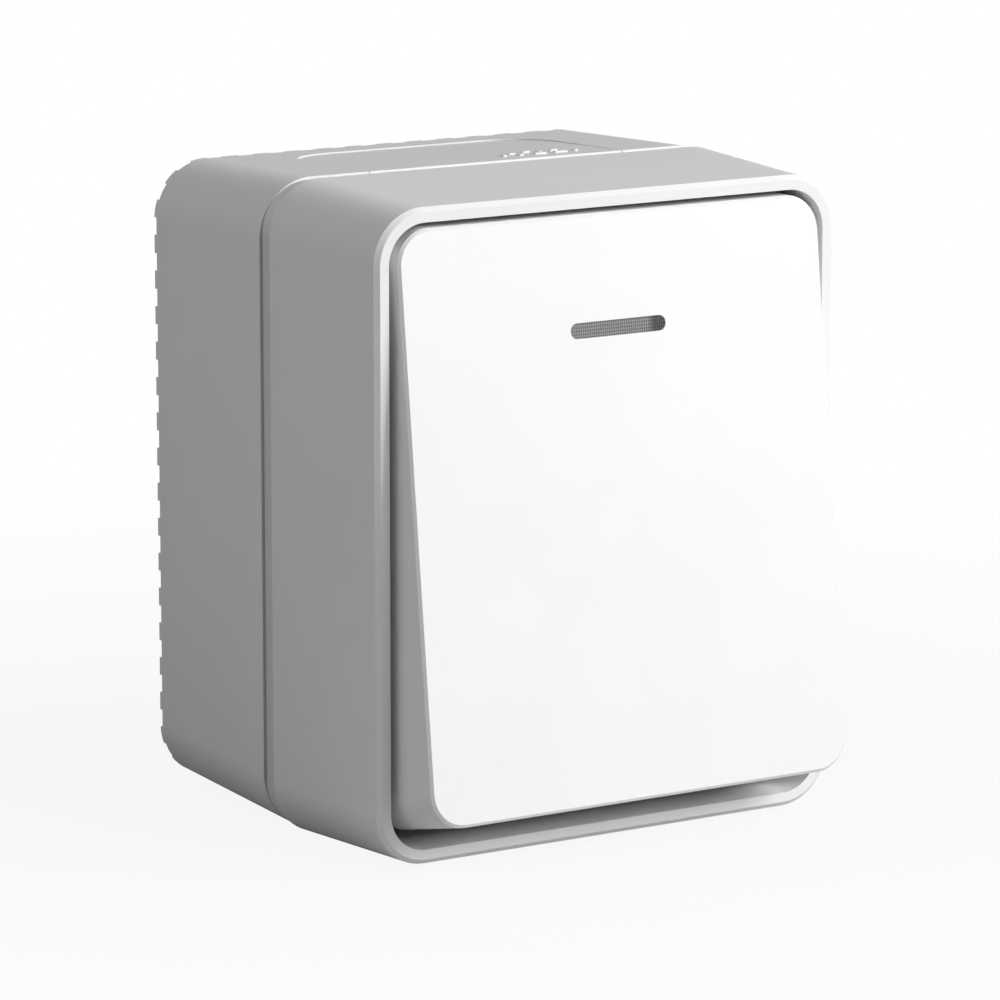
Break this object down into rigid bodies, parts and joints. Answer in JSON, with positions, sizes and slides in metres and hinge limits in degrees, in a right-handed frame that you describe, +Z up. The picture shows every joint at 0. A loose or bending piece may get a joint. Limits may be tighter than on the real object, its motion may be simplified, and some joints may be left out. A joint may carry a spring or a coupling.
{
  "type": "outdoor weatherproof switch",
  "caption": "Surface-mounted splash-proof rocker switch: toothed wall box, cover frame, tilting rocker with a lens, and the changeover mechanism inside.",
  "frame": {"origin": "midway between the two wall screws, on the wall plane", "axes": "+Z up the wall, +Y into the wall (the front faces -Y), +X to the right seen from the front"},
  "size_m": [0.075, 0.0678, 0.0898],
  "materials": {
    "housing_white": "fine matt moulded surface",
    "rocker_white": "smooth satin moulded surface",
    "lens_smoke": "smoke tinted clear plastic with a prismatic back",
    "seal_grey": "soft moulded rubber",
    "mechanism_grey": "glass filled moulded plastic",
    "button_grey": "moulded plastic",
    "screw_steel": "zinc plated",
    "spring_steel": "bright spring steel",
    "contact_brass": "stamped brass strip",
    "contact_silver": "silver faced rivet",
    "lamp_glass": "clear glass with an orange glow",
    "lead_wire": "tinned wire"
  },
  "bodies": {
    "root": {"base_box": "housing_white", "cable_entry_top": "housing_white", "cable_entry_bottom": "housing_white", "cover_gasket": "seal_grey", "cover_frame": "housing_white", "cover_screws": "screw_steel", "cover_screw_seals": "seal_grey", "mounting_plate": "mechanism_grey", "plate_screws": "screw_steel", "mechanism_seal": "seal_grey", "mechanism_housing": "mechanism_grey", "common_terminal": "contact_brass", "upper_terminal": "contact_brass", "lower_terminal": "contact_brass", "clamp_spring_common": "spring_steel", "clamp_spring_upper": "spring_steel", "clamp_spring_lower": "spring_steel", "lamp_holder": "mechanism_grey", "indicator_lamp": "lamp_glass", "lamp_leads": "lead_wire"},
    "rocker": {"rocker": "rocker_white", "lens": "lens_smoke", "cradle": "mechanism_grey", "plunger_spring": "spring_steel"},
    "plunger": {"plunger": "mechanism_grey"},
    "contact_lever": {"contact_lever": "contact_brass", "lever_contacts": "contact_silver"},
    "release_button_common": {"release_button_common": "button_grey"},
    "release_button_upper": {"release_button_upper": "button_grey"},
    "release_button_lower": {"release_button_lower": "button_grey"}
  },
  "joints": [
    {"name": "rocker_rock", "type": "hinge", "parent": "root", "child": "rocker", "pos_m": [0, -0.04532, 0], "axis": [1, 0, 0], "range_deg": [0, 13.2]},
    {"name": "plunger_slide", "type": "slide", "parent": "rocker", "child": "plunger", "axis": [0, -0.9934, 0.1149], "range_m": [0, 0.0008], "stiffness_N_per_m": 300},
    {"name": "contact_lever_rock", "type": "hinge", "parent": "root", "child": "contact_lever", "pos_m": [0, -0.0246, 0], "axis": [1, 0, 0], "range_deg": [-14, 0]},
    {"name": "release_button_common_press", "type": "slide", "parent": "root", "child": "release_button_common", "axis": [0, -1, 0], "range_m": [0, 0.0012], "stiffness_N_per_m": 400},
    {"name": "release_button_upper_press", "type": "slide", "parent": "root", "child": "release_button_upper", "axis": [0, -1, 0], "range_m": [0, 0.0012], "stiffness_N_per_m": 400},
    {"name": "release_button_lower_press", "type": "slide", "parent": "root", "child": "release_button_lower", "axis": [0, -1, 0], "range_m": [0, 0.0012], "stiffness_N_per_m": 400}
  ],
  "couplings": [
    {"joint": "contact_lever_rock", "follows": "rocker_rock", "ratio": -1.0606}
  ]
}
